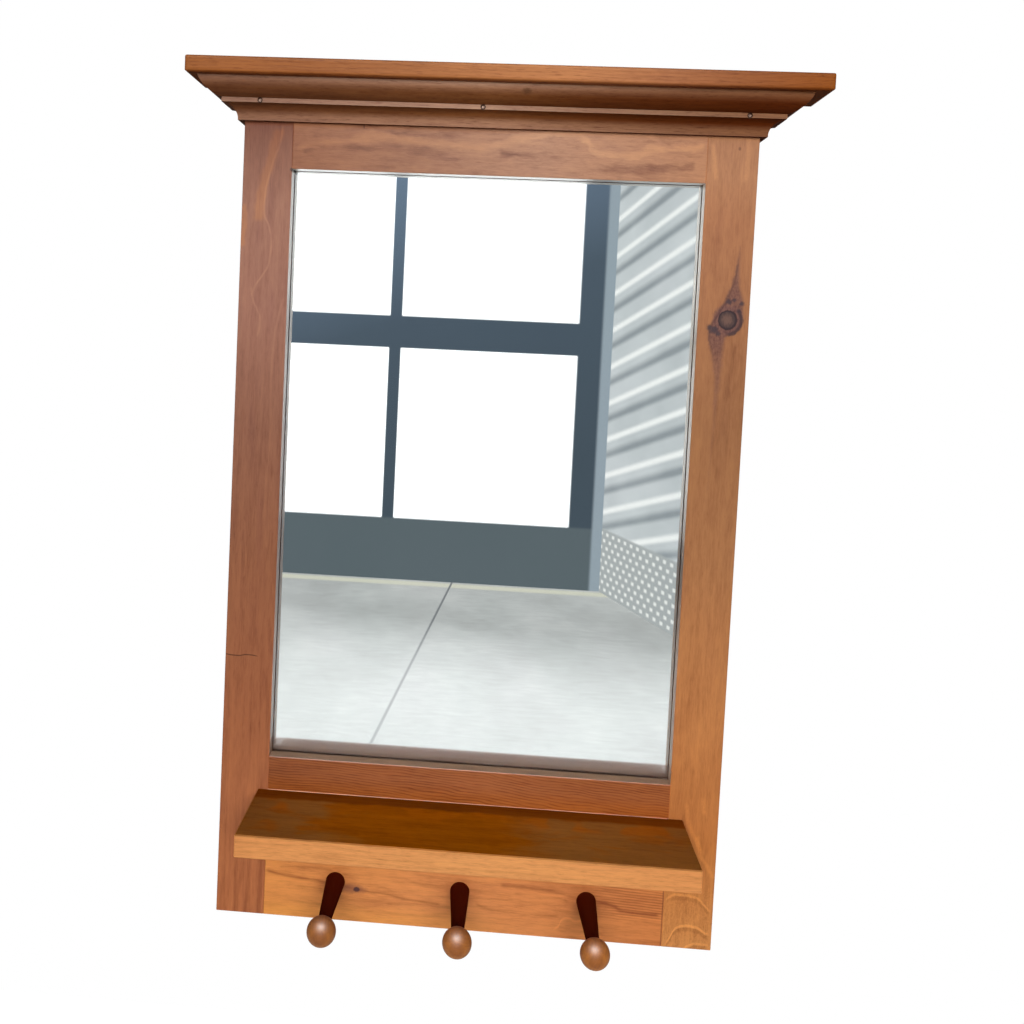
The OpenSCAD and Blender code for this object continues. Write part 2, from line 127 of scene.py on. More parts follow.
class Tree:
    """The node tree of a material or a world."""

    def __init__(self, owner):
        owner.use_nodes = True
        self.nodes = owner.node_tree.nodes
        self.links = owner.node_tree.links
        self.nodes.clear()

    def add(self, kind, **settings):
        node = self.nodes.new(kind)
        for name, setting in settings.items():
            setattr(node, name, setting)
        return node

    def set(self, socket, value):
        if isinstance(value, Value):
            self.links.new(value.socket, socket)
        elif isinstance(value, tuple) and len(value) == 3 and socket.type == "RGBA":
            socket.default_value = (*value, 1)
        else:
            socket.default_value = value

    def parts(self, vector):
        node = self.add("ShaderNodeSeparateXYZ")
        self.set(node.inputs[0], vector)
        return [Value(self, output) for output in node.outputs]

    def vector(self, x, y, z):
        node = self.add("ShaderNodeCombineXYZ")
        for socket, number in zip(node.inputs, (x, y, z)):
            self.set(socket, number)
        return Value(self, node.outputs[0])

    def math(self, operation, *numbers):
        node = self.add("ShaderNodeMath", operation=operation)
        for socket, number in zip(node.inputs, numbers):
            self.set(socket, number)
        return Value(self, node.outputs[0])

    def noise(self, x, y, z, detail=2.0, roughness=0.5, distortion=0.0):
        """Noise about 0, mostly between -1 and 1, with features about one unit long."""
        node = self.add("ShaderNodeTexNoise")
        for name, value in (
            ("Vector", self.vector(x, y, z)), ("Scale", 1.0), ("Detail", detail),
            ("Roughness", roughness), ("Distortion", distortion),
        ):
            self.set(node.inputs[name], value)
        return (Value(self, node.outputs[0]) - 0.5) * NOISE_GAIN

    def ramp(self, value, stops):
        """Colours between the stops, which are pairs of a position and a colour."""
        low, high = stops[0][0], stops[-1][0]
        node = self.add("ShaderNodeValToRGB")
        elements = node.color_ramp.elements
        while len(elements) < len(stops):
            elements.new(1.0)
        for element, (place, colour) in zip(elements, stops):
            element.position = (place - low) / (high - low)
            element.color = (*colour, 1)
        self.set(node.inputs[0], (value - low) / (high - low))
        return Value(self, node.outputs[0])

    def mix(self, share, first, second, blend="MIX"):
        node = self.add("ShaderNodeMix", data_type="RGBA", blend_type=blend)
        for number, value in ((0, share), (6, first), (7, second)):
            self.set(node.inputs[number], value)
        return Value(self, node.outputs[2])

    def curve(self, value, points):
        """Height at value of the smooth curve through the points (place, height)."""
        points = sorted(points)
        low, high = points[0][0], points[-1][0]
        heights = [height for place, height in points]
        base, reach = min(heights), max(max(heights) - min(heights), 0.01)
        node = self.add("ShaderNodeFloatCurve")
        line = node.mapping.curves[0]
        scaled = [((p - low) / (high - low), (h - base) / reach) for p, h in points]
        line.points[0].location = scaled[0]
        line.points[1].location = scaled[-1]
        for place in scaled[1:-1]:
            line.points.new(*place)
        node.mapping.update()
        self.set(node.inputs["Value"], (value - low) / (high - low))
        return Value(self, node.outputs[0]) * reach + base

    def stroke(self, along, across, points, width, soft):
        """A line through the points (along, across): 1 on it, 0 away from it."""
        points = sorted(points)
        low, high = points[0][0], points[-1][0]
        distance = abs(across - self.curve(along, points))
        ends = along.rise(low, low + 4) * along.rise(high, high - 4)
        return distance.rise(width / 2 + soft, width / 2) * ends


class Paint(Tree):
    """One material's tree. Its places are in millimetres in the object's frame."""

    def __init__(self, name):
        self.material = bpy.data.materials.new(name)
        super().__init__(self.material)
        coordinates = self.add("ShaderNodeTexCoord")
        scaled = self.add("ShaderNodeVectorMath", operation="SCALE")
        self.set(scaled.inputs[0], Value(self, coordinates.outputs["Object"]))
        self.set(scaled.inputs["Scale"], 1 / MM)
        self.x, self.y, self.z = self.parts(Value(self, scaled.outputs[0]))
        self.normal = self.parts(Value(self, coordinates.outputs["Normal"]))

    def finish(self, colour, roughness, height=None, bump=0.0, **constants):
        """Principled shader with these inputs; constants go onto its own sockets."""
        shader = self.add("ShaderNodeBsdfPrincipled")
        self.set(shader.inputs["Base Color"], colour)
        self.set(shader.inputs["Roughness"], roughness)
        for name, value in constants.items():
            self.set(shader.inputs[name.replace("_", " ")], value)
        if height is not None:
            node = self.add("ShaderNodeBump")
            self.set(node.inputs["Distance"], bump * MM)
            self.set(node.inputs["Height"], height)
            self.set(shader.inputs["Normal"], Value(self, node.outputs[0]))
        output = self.add("ShaderNodeOutputMaterial")
        self.links.new(shader.outputs[0], output.inputs[0])
        return self.material


# ---- Stained wood ----

# Tints of the darkest and lightest wood, purplish patches, end grain and worn edges.
DARK = (0.50, 0.41, 0.42)
LIGHT = (1.34, 1.40, 1.28)
MAUVE = (0.72, 0.66, 0.80)
END_GRAIN = (0.62, 0.55, 0.50)
WORN = (1.5, 1.5, 1.5)


class Wood(Paint):
    """Stained pine: a solid of growth rings, with its grain along one axis.

    grain names the axes along the grain, across the board's face and through it.
    tones are pairs of a place along the grain and the stain's colour there.
    pith is the place of the tree's middle, across and through, and ring is the
    width of a growth ring. warp is how far the rings wander, in millimetres, and
    slope how far they climb across the face for each millimetre along it.
    figure, streaks, clouds, mottle, fibres and pores are the contrasts of the rings,
    of long streaks, broad clouds, short flecks, fine fibres and pores. mauve is the
    largest share of the purplish patches.
    """

    def __init__(self, name, grain, tones, seed, pith, ring=4.0, warp=2.0,
                 figure=0.3, streaks=0.3, clouds=0.3, slope=0.0, mauve=0.3, mottle=0.12,
                 fibres=0.24, pores=0.28):
        super().__init__(name)
        axes = {"x": self.x, "y": self.y, "z": self.z}
        normals = dict(zip("xyz", self.normal))
        self.u, self.v, self.w = (axes[letter] for letter in grain)
        self.end_grain = abs(normals[grain[0]]).rise(0.8, 0.95)
        u, v, w = self.u, self.v, self.w
        self.tones = tones
        wander = self.noise(u / 90 + seed, v / 60, w / 60, detail=3)
        flow = self.noise(u / 130, v / 25 + seed, w / 25, detail=2)
        across = v + u * slope - pith[0]
        radius = (across + wander * warp).hypot(w - pith[1] + flow * warp)
        ripple = self.noise(u / 40, v / 9, w / 9 + seed, detail=3) * 0.35
        late = (radius / ring + ripple).fraction()
        fading = self.noise(u / 28 + seed, v / 4, w / 4, detail=2).rise(-0.9, 0.7) * 0.7 + 0.3
        self.late = late.rise(0.35, 0.85) * late.rise(1.0, 0.92) * fading
        self.streak = self.noise(u / 50 + seed, v / 2.6, w / 2.6, detail=4, roughness=0.62)
        self.fibre = self.noise(u / 8 + seed, v / 0.8, w / 0.8, detail=2, roughness=0.6)
        self.pores = self.noise(u / 5, v / 0.6 + seed, w / 0.6, detail=1).rise(0.5, 0.95)
        self.cloud = self.noise(u / 75, v / 17, w / 17 + seed, detail=4, distortion=0.7)
        self.mauve = self.noise(u / 60 + seed, v / 8, w / 8, detail=3).rise(0.0, 1.0) * mauve
        self.shade = (
            self.cloud * clouds + self.streak * streaks + self.fibre * fibres
            + self.noise(u / 14 + seed, v / 4, w / 4, detail=4, roughness=0.65) * mottle
            - self.late * figure - self.pores * pores
        )

    def darken(self, mask, amount=1.0):
        self.shade = self.shade - mask * amount

    def lighten(self, mask, amount=1.0):
        self.shade = self.shade + mask * amount

    def done(self, wear=0.35, over=(), roughness=0.42, gloss=0.06, specular=0.14, bump=0.06,
             coat_roughness=0.22, matt=None, polish=None):
        """Colours the wood; over holds masks with the colours that lie on top of it.

        wear is how far the edges lighten, gloss the weight of the varnish and specular
        the wood's own shine. matt is a mask of bare wood and polish one of thick varnish.
        """
        tone = self.tones[0][1] if len(self.tones) == 1 else self.ramp(self.u, self.tones)
        tint = self.ramp(self.shade, [(-1, DARK), (0, (1, 1, 1)), (1, LIGHT)])
        colour = self.mix(1.0, tone, tint, "MULTIPLY")
        colour = self.mix(self.mauve, colour, MAUVE, "MULTIPLY")
        colour = self.mix(self.end_grain * 0.8, colour, END_GRAIN, "MULTIPLY")
        nx, ny, nz = (abs(part) for part in self.normal)
        flat = nx.greater(ny).greater(nz)
        edge = flat.rise(0.995, 0.86) * (self.noise(self.x / 9, self.y / 9, self.z / 9) * 0.4 + 0.8)
        colour = self.mix(edge * wear, colour, WORN, "MULTIPLY")
        for mask, paint, *blend in over:
            colour = self.mix(mask, colour, paint, *blend)
        smear = self.noise(self.x / 45, self.y / 45, self.z / 45, detail=3)
        rough = smear * 0.05 + self.late * -0.04 + self.pores * 0.15 + roughness
        if matt is not None:
            rough = rough + matt * 0.6
            gloss = (1.0 - matt) * gloss
        if polish is not None:
            rough = rough - polish * 0.22
            gloss = polish.greater(gloss)
        return self.finish(
            colour, rough, self.fibre * 0.5 - self.pores - self.late * 0.5, bump,
            Coat_Weight=gloss, Coat_Roughness=coat_roughness, Specular_IOR_Level=specular,
        )


# The stiles and the top rail have a thin varnish; the inner side of the lip round the glass has a
# pale painted reflection.
SATIN = {"gloss": 0.03, "specular": 0.07}
LIP_REFLECTION_PAINT = (0.95, 0.80, 0.64)


def lip_reflection_side(wood):
    """Mask of the inner side of a stile's or top rail's lip in front of the glass, which takes a
    painted reflection.
    """
    inside = abs(wood.x).rise(OPENING_HALF + 1.2, OPENING_HALF + 0.4)
    inside = inside * wood.z.rise(OPENING_FOOT - 2, OPENING_FOOT)
    inside = inside * wood.z.rise(OPENING_TOP + 0.9, OPENING_TOP + 0.3)
    facing = abs(wood.normal[0]).greater(abs(wood.normal[2])).rise(0.8, 0.95)
    return inside * facing * 0.9


def left_stile_wood():
    """Pale lines and a warm band in the upper half, a crack below and a notch in the lip."""
    wood = Wood(
        "left_stile_pine", "zxy",
        [(-610, (0.43, 0.143, 0.055)), (-450, (0.345, 0.120, 0.053)),
         (-330, (0.285, 0.109, 0.055)), (-225, (0.275, 0.116, 0.070)),
         (-140, (0.340, 0.154, 0.105)), (-60, (0.344, 0.158, 0.104)), (5, (0.165, 0.052, 0.026))],
        seed=3.1, pith=(-240, -70), ring=9, warp=7, figure=0.12, streaks=0.30, clouds=0.26,
        mauve=0.4, mottle=0.20,
    )
    u, v = wood.u, wood.v
    main_line = [
        (3, -165), (-13, -167), (-21.5, -170), (-35, -174), (-52, -177), (-63, -177.5),
        (-77, -173), (-89, -171), (-103, -172), (-114, -177), (-127, -184), (-132, -185),
    ]
    low_line = [(-122, -185.5), (-132, -184), (-141, -180), (-149, -177.5), (-163, -180)]
    long_line = [(-130, -159.5), (-146, -163), (-167, -166), (-193, -167), (-236, -166),
                 (-282, -168), (-328, -165.5)]
    warm_band = [(0, -167.5), (-28, -174.3), (-54, -180.5), (-74, -181.5)]
    warm_edge = [(-58, -193.5), (-75, -193), (-94, -194.5)]
    hook = [(-304, -187), (-308, -183.6), (-318, -182.8), (-336, -181.6), (-352, -183)]
    broken = wood.noise(u / 11, v / 5, 3.1, detail=4).rise(-0.9, 0.7) * 0.7 + 0.3
    for line, soft, amount in (
        (main_line, 1.1, 0.8), (low_line, 1.1, 0.6), (long_line, 1.3, 0.5), (hook, 1.3, 0.45),
    ):
        wood.lighten(wood.stroke(u, v, line, 0.4, soft) * broken, amount)
    flame = v + wood.noise(u / 9, v / 4, 9.9, detail=4) * 1.6
    warm = wood.stroke(u, flame, warm_band, 3, 4)
    warm = warm.greater(wood.stroke(u, flame, warm_edge, 1.5, 3))
    wood.lighten(warm, 0.42)
    foot = wood.noise(u / 70, v / 3.4, 7.7, detail=2)
    wood.lighten(foot * u.rise(-400, -520), 0.5)
    crack_at = wood.curve(v, [(-195, -412), (-185, -413.8), (-178, -412.7), (-170, -413.3)])
    crack = abs(u - crack_at).rise(0.7, 0.2) * v.rise(-168, -172)
    notch = (v + 157.4).hypot((u + 32.2) * 0.8).rise(1.5, 0.7)
    # Painted reflection on the lip's inner side, lighter and darker along the stile.
    lip = lip_reflection_side(wood)
    lip_reflection_colour = wood.ramp(u, [
        (-470, (0.42, 0.27, 0.20)), (-400, (0.62, 0.45, 0.37)), (-325, (0.34, 0.23, 0.19)),
        (-246, (0.60, 0.44, 0.38)), (-90, (0.98, 0.84, 0.74)),
    ])
    over = [
        (warm * 0.7, (1.12, 1.0, 0.75), "MULTIPLY"), (crack * 0.75, (0.05, 0.022, 0.014)),
        (lip, lip_reflection_colour), (notch * 0.75, (0.06, 0.045, 0.04)),
    ]
    return wood.done(over=over, polish=lip * (u.rise(-280, -130) * 0.5 + 0.5), **SATIN)


def spots(wood, places, ragged):
    """Ragged spots, each given as (across, along, radius)."""
    masks = []
    for across, along, radius in places:
        distance = (wood.v - across).hypot(wood.u - along) + ragged * radius * 0.6
        masks.append(distance.rise(radius, radius * 0.3))
    return union(masks)


def right_stile_wood():
    """A knot in a long dark stain, pale lines near both ends and pale arcs at the foot."""
    wood = Wood(
        "right_stile_pine", "zxy",
        [(-620, (0.62, 0.25, 0.075)), (-540, (0.50, 0.172, 0.046)), (-450, (0.535, 0.207, 0.068)),
         (-320, (0.410, 0.176, 0.071)), (-220, (0.338, 0.146, 0.062)),
         (-60, (0.42, 0.174, 0.077)), (-25, (0.45, 0.20, 0.093)), (10, (0.39, 0.17, 0.08))],
        seed=11.7, pith=(150, -60), ring=6, warp=5, figure=0.12, streaks=0.24, clouds=0.28,
        mauve=0.2, mottle=0.24,
    )
    u, v = wood.u, wood.v
    ragged = wood.noise(u / 6, v / 3.5, 2.2, detail=5, roughness=0.7)
    fine = wood.noise(u / 2.2, v / 1.4, 8.1, detail=3)
    knot_u, knot_v = -132.9, 178.9
    left = wood.curve(u, [
        (-240, 171.5), (-215, 171.8), (-194, 171.2), (-180, 170.6), (-165, 168.6),
        (-152, 165.6), (-143, 164), (-137, 165.9), (-129.6, 169.6), (-117, 175.8),
        (-104, 180.4), (-92, 182.4), (-84, 183.6), (-75, 185.3), (-69, 186.4),
    ])
    right = wood.curve(u, [
        (-240, 173.4), (-215, 175.0), (-194, 176.0), (-180, 177.2), (-165, 178.0),
        (-152, 178.4), (-146, 179.5), (-141, 187), (-134, 190.6), (-124, 191.4),
        (-113, 189.5), (-104, 187.4), (-92, 186.6), (-84, 186.2), (-75, 184.9), (-69, 183.6),
    ])
    inside = (v - left).lesser(right - v) + ragged * 1.5
    near = abs(u + 133).rise(95, 15)
    below = u.rise(-148, -168)
    mottled = (ragged * 0.6 + fine * 0.6).rise(-1.0, 0.8)
    stain = inside.rise(-0.8, 3.2) * (near * 0.5 + 0.5) * (1.0 - below * 0.2)
    stain = stain * (1.0 - mottled * 0.22)
    stain_colour = wood.mix(mottled, (0.080, 0.034, 0.036), (0.215, 0.098, 0.078))
    from_knot = (v - knot_v).hypot((u - knot_u) * 0.95) + fine * 0.3
    rightwards = (v - knot_v) * 0.85 - (u - knot_u) * 0.35
    disc = from_knot.rise(6.8, 5.8)
    ring = from_knot.rise(5.4, 6.4) * (from_knot - rightwards * 0.05 + ragged * 0.4).rise(7.6, 6.8)
    arc_at = from_knot - 10.5 + ragged * 0.9
    arc = abs(arc_at).rise(2.2, 0.5) * (rightwards / from_knot).rise(0.15, 0.6)
    halo = (from_knot + ragged * 2.2).rise(13.0, 9.0)
    patches = spots(wood, [
        (169.4, -140.9, 4.2), (166.0, -139.0, 3.0), (172.6, -143.4, 2.6), (183.8, -117.6, 2.4),
        (188.8, -120.3, 2.6), (179.5, -119.5, 2.8), (187.0, -126.0, 2.2),
    ], ragged)
    wood.darken(wood.stroke(u, v, [(-196, 181), (-170, 184), (-150, 186.5)], 0.4, 2.2), 0.25)
    wood.darken(wood.stroke(u, v, [(-186, 187), (-165, 186), (-148, 184)], 0.4, 2.0), 0.2)
    pale_lines = [
        [(-30, 164.8), (-15, 162.6), (0, 160)], [(-31, 185), (-10, 187), (6, 185)],
        [(-546, 184), (-539, 181), (-523, 173), (-505, 170)], [(-516, 184.5), (-500, 182)],
        [(-566, 194), (-554, 188), (-547, 183), (-530, 180)],
    ]
    grainy = wood.noise(u / 1.6, v / 1.3, 6.6, detail=4, roughness=0.75) * 0.55 + 0.65
    for line in pale_lines:
        wood.lighten(wood.stroke(u, v + ragged * 0.5, line, 0.8, 2.4) * grainy, 0.75)
    foot_arcs = [
        [(159, -621), (163, -614), (169, -605), (176, -603.4), (183.5, -604.4),
         (190, -608), (194, -609.5)],
        [(172, -624), (175, -621), (180, -618), (184, -617), (194, -617.6)],
        [(157, -588), (162, -581), (167, -579), (182, -581), (188, -586), (194, -591.5)],
    ]
    wobble = wood.noise(u / 30, v / 4, 5.0) * 0.7
    for arc_line, amount in zip(foot_arcs, (1.3, 1.0, 1.0)):
        wood.lighten(wood.stroke(v, u + wobble, arc_line, 0.5, 1.5) * grainy, amount * 1.1)
        wood.darken(wood.stroke(v, u + wobble + 2.4, arc_line, 1.2, 2.2), amount * 0.3)
    foot = wood.noise(u / 2.0, v / 1.6, 4.4, detail=4, roughness=0.75) * u.rise(-560, -580)
    wood.lighten(foot, 0.45)
    dot = (v - 180.6).hypot((u + 5) * 0.7).rise(1.3, 0.6)
    knot_grain = wood.noise(u / 3, v / 1.1, 3.7, detail=4, roughness=0.7)
    knot_wood = wood.mix(
        (from_knot * 0.5 + knot_grain).rise(0.6, 3.2), (0.158, 0.086, 0.066), (0.060, 0.036, 0.036)
    )
    # Painted reflection on the lip's inner side, lighter and darker along the stile.
    lip = lip_reflection_side(wood)
    lip_reflection_colour = wood.ramp(u, [
        (-462, (0.66, 0.48, 0.36)), (-400, (0.58, 0.39, 0.29)), (-323, (0.25, 0.15, 0.10)),
        (-246, (0.56, 0.44, 0.35)), (-92, (0.90, 0.78, 0.66)),
    ])
    vein = abs(v - left - 1.6 + ragged * 0.8).rise(1.9, 0.3) * stain * u.rise(-175, -140)
    over = [
        (stain * 0.9, stain_colour), (halo * 0.75, stain_colour),
        (vein * 0.7, (0.060, 0.028, 0.030)),
        (patches * 0.8, (0.045, 0.034, 0.044)), (arc * 0.85, (0.050, 0.030, 0.034)),
        (disc, knot_wood), (ring * 0.92, (0.030, 0.020, 0.024)),
        (dot * 0.7, (0.16, 0.07, 0.04)), (lip, lip_reflection_colour),
    ]
    return wood.done(over=over, polish=lip * 0.3, **SATIN)


def top_rail_wood():
    """Cloudy and paler to the right, with one long pale wave and three dark ones."""
    wood = Wood(
        "top_rail_pine", "xzy",
        [(-160, (0.285, 0.108, 0.050)), (-60, (0.338, 0.150, 0.080)),
         (35, (0.435, 0.217, 0.127)), (160, (0.445, 0.200, 0.098))],
        seed=21.3, pith=(-20, -34), ring=7, warp=11, figure=0.12, streaks=0.22, clouds=0.34,
        mauve=0.35, mottle=0.16,
    )
    u, v = wood.u, wood.v
    bend = wood.noise(u / 22, v / 10, 3.3, detail=4, roughness=0.65)
    ripple = v + bend * 3.6
    patchy = wood.noise(u / 16, ripple / 4.2, 6.1, detail=5, roughness=0.65)
    wood.lighten(patchy, 0.50)
    light = [(-155, -16), (-134, -11), (-118, -10), (-91, -5), (-70, -7), (-37, -8.5),
             (-16, -11), (1, -7), (16, -3), (56, 1), (71, -8), (96, -13), (115, -7), (156, -4)]
    wood.lighten(wood.stroke(u, ripple, light, 0.8, 4.5), 0.65)
    dark = [
        [(-150, -19), (-123, -13.5), (-80, -13), (-64, -15), (-37, -19), (-25, -25)],
        [(0, -14), (39, -16), (72, -20), (83, -24), (127, -21), (150, -17)],
        [(-120, 0), (-90, 1.5), (-60, -1), (-20, 0)],
    ]
    fade = wood.noise(u / 30, v / 30, 12.0).rise(-0.6, 0.3)
    for line, amount in zip(dark, (0.5, 0.7, 0.35)):
        wood.darken(wood.stroke(u, ripple, line, 0.5, 5.0) * fade, amount)
    nick = (u + 102.5).hypot((v - 2.5) * 0.35).rise(0.9, 0.3)
    # Painted reflection on the lip's inner side, in one pale colour.
    lip = lip_reflection_side(wood)
    over = [(nick * 0.8, (0.08, 0.03, 0.02)), (lip, LIP_REFLECTION_PAINT)]
    return wood.done(over=over, polish=lip, **SATIN)


def middle_rail_wood():
    """Strong slanting rings, yellower at the foot; the lip's top is matt and painted dull brown as
    painted shade.
    """
    wood = Wood(
        "middle_rail_pine", "xzy",
        [(-160, (0.29, 0.090, 0.032)), (0, (0.385, 0.124, 0.044)), (160, (0.36, 0.108, 0.033))],
        seed=5.9, pith=(-560, -12), ring=2.1, warp=5.2, figure=0.78, streaks=0.34,
        clouds=0.24, slope=0.085, mauve=0.15, mottle=0.18,
    )
    # Painted shade on the lip's top, which faces upward: dull brown, and matt.
    shaded_lip_top = wood.normal[2].rise(0.8, 0.95) * wood.v.rise(OPENING_FOOT - 1.5, OPENING_FOOT - 0.8)
    low = wood.v.rise(-503, -518) * 0.9
    over = [
        (low, (1.06, 0.92, 0.50), "MULTIPLY"),
        (shaded_lip_top * 0.9, (0.24, 0.145, 0.085)),
    ]
    return wood.done(wear=0.4, over=over, matt=shaded_lip_top)


def peg_rail_wood():
    """Orange, with thin dark lines, a small knot at the left and rings at the right; round each
    peg's foot a darker area, partly stain and partly painted shadow.
    """
    wood = Wood(
        "peg_rail_pine", "xzy",
        [(-160, (0.70, 0.262, 0.068)), (0, (0.69, 0.258, 0.084)), (160, (0.62, 0.208, 0.060))],
        seed=31.4, pith=(-640, 30), ring=5.2, warp=6.0, figure=0.20, streaks=0.26,
        clouds=0.46, slope=0.05, mauve=0.45, mottle=0.2,
    )
    u, v = wood.u, wood.v
    ripple = v + wood.noise(u / 18, v / 6, 1.3, detail=2) * 0.9
    lines = [
        ([(-157, -585), (-137, -589), (-111, -591), (-83, -595), (-61, -597), (-42, -600),
          (-15, -602)], 0.4, 0.9, 0.7),
        ([(-147, -584), (-133, -581), (-116, -581), (-100, -584)], 0.4, 1.0, 0.45),
        ([(96, -588), (106, -590), (117, -592), (128, -596), (155, -597)], 0.4, 1.2, 0.9),
        ([(29, -583), (58, -583), (87, -588), (100, -590)], 0.5, 1.4, 0.6),
        ([(40, -588), (60, -588), (85, -592)], 0.3, 1.0, 0.4),
        ([(10, -598), (50, -605), (78, -603)], 0.3, 1.2, 0.35),
        ([(-60, -606), (-30, -604), (0, -607)], 0.3, 1.4, 0.3),
    ]
    for points, width, soft, amount in lines:
        wood.darken(wood.stroke(u, ripple, points, width, soft), amount * 0.45)
        wood.darken(wood.stroke(u, ripple, points, width * 3, soft * 2.5), amount * 0.45)
    rows = ((v + u * 0.06 + ripple * 0.4) / 2.9).fraction()
    upper_right = u.rise(95, 125) * v.rise(-606, -598)
    wood.darken(rows.rise(0.3, 0.8) * rows.rise(1.0, 0.9) * upper_right, 0.55)
    swirl = [(72, -615), (77, -612), (79, -607), (84, -605), (90, -607), (97, -606)]
    wood.lighten(wood.stroke(u, v, swirl, 0.6, 1.5), 0.55)
    ragged = wood.noise(u / 3, v / 3, 4.0, detail=3)
    from_knot = ((u + 83) * 0.8).hypot(v + 595.3) + ragged * 0.5
    halo = ((u + 86) * 0.35).hypot(v + 595) + ragged * 0.9
    joint = abs(u + 0.3).rise(OPENING_HALF - 1.1, OPENING_HALF - 0.3)
    # Round each peg's foot a darker area: partly stain, partly painted shadow below the shelf.
    foot_stain_and_shadow = []
    for side in ("left", "centre", "right"):
        low, high = (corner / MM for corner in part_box("peg_" + side))
        middle = (low + high) / 2
        foot = ((u - middle.x) * 0.7).hypot(v - middle.z) + ragged * 1.2
        foot_stain_and_shadow.append(foot.rise(15, 5))
    low_edge = v.rise(-604, -620) * u.rise(60, -20)
    over = [
        (union(foot_stain_and_shadow) * 0.6, (0.66, 0.58, 0.60), "MULTIPLY"),
        (low_edge * 0.7, (1.06, 1.12, 0.90), "MULTIPLY"),
        (joint * 0.6, (0.14, 0.055, 0.028)),
        (halo.rise(5.5, 1.5) * 0.6, (0.24, 0.085, 0.050)),
        (from_knot.rise(2.6, 1.3) * 0.9, (0.060, 0.026, 0.030)),
    ]
    return wood.done(over=over)


def cornice_board_wood():
    """Lightest right of the middle, with painted shade on the underside."""
    wood = Wood(
        "cornice_board_pine", "xyz",
        [(-235, (0.342, 0.113, 0.030)), (-140, (0.336, 0.113, 0.033)),
         (0, (0.467, 0.179, 0.061)), (60, (0.517, 0.205, 0.076)),
         (120, (0.41, 0.153, 0.060)), (180, (0.310, 0.100, 0.031)), (237, (0.300, 0.084, 0.013))],
        seed=41.9, pith=(-18, -60), ring=2.6, warp=3.5, figure=0.30, streaks=0.34, clouds=0.22,
        mauve=0.2,
    )
    ticks = wood.noise(wood.u / 9, wood.v / 0.9, wood.w / 0.9, detail=2).rise(0.15, 0.75)
    wood.darken(ticks, 0.45)
    # Painted shade on the faces that look downward.
    underside_shade = (0 - wood.normal[2]).rise(0.3, 0.8)
    over = [(underside_shade * 0.9, (0.50, 0.40, 0.34), "MULTIPLY")]
    return wood.done(wear=0.15, over=over, gloss=0.0, specular=0.02)


# The crown nails' width of head and the middle one's place, in millimetres.
NAIL_HEAD = 2.0
MIDDLE_NAIL_X = -12.2


def punch_marks(wood):
    """Dark rings round the heads of the nails in the front moulding."""
    low, high = (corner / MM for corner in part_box("crown_nails"))
    for x in (low.x + NAIL_HEAD / 2, MIDDLE_NAIL_X, high.x - NAIL_HEAD / 2):
        distance = (wood.x - x).hypot(wood.z - (low.z + high.z) / 2)
        yield distance.rise(2.2, 1.8) * distance.rise(0.8, 1.1)


def moulding_wood(name, grain, seed, tones, nailed=False):
    """Painted shade on the faces that look downward, a painted sheen that makes the fillet greyer
    and a painted highlight on the ovolo's top; duller at its foot.
    """
    wood = Wood(
        name, grain, tones, seed=seed, pith=(-60, -30), ring=3.4, warp=3.0, figure=0.14,
        streaks=0.42, clouds=0.26, mauve=0.1, mottle=0.2,
    )
    # Painted shade on the faces that look downward, darker and warmer to the right.
    down_shade = (0 - wood.normal[2]).rise(0.25, 0.74)
    downward_shade_tint = wood.ramp(wood.x, [
        (-195, (0.46, 0.33, 0.215)), (0, (0.43, 0.29, 0.15)), (90, (0.38, 0.21, 0.09)),
        (195, (0.37, 0.175, 0.06)),
    ])
    ticks = wood.noise(wood.u / 7, wood.v / 0.8, wood.w / 0.8, detail=3).rise(0.1, 0.7)
    wood.darken(ticks, 0.5)
    wood.lighten(wood.noise(wood.u / 4, wood.v / 0.7, wood.w / 0.7, detail=3), 0.16)
    # Painted sheen: the upright fillet is made greyer.
    fillet = abs(wood.normal[1]).rise(0.85, 0.98) * wood.z.rise(14.4, 15.2)
    over = [
        (down_shade, downward_shade_tint, "MULTIPLY"), (fillet, (0.93, 1.02, 1.12), "MULTIPLY"),
        (wood.z.rise(11.5, 8.5), (0.82, 0.79, 0.76), "MULTIPLY"),
        # Painted highlight on the ovolo's top, strongest near the middle.
        (wood.z.rise(27, 30) * abs(wood.x + 30).rise(140, 70), (1.13, 1.19, 1.24), "MULTIPLY"),
    ]
    if nailed:
        over += [(mark * 0.9, (0.040, 0.020, 0.014)) for mark in punch_marks(wood)]
        knot = ((wood.x - 19.6) * 0.7).hypot(wood.z - 26.5)
        knot = knot + wood.noise(wood.x / 2, wood.z / 2, 1.7, detail=3) * 0.8
        over.append((knot.rise(3.4, 0.8) * 0.6, (0.070, 0.030, 0.014)))
    return wood.done(over=over, wear=0.0, roughness=0.5, gloss=0.0, specular=0.03)


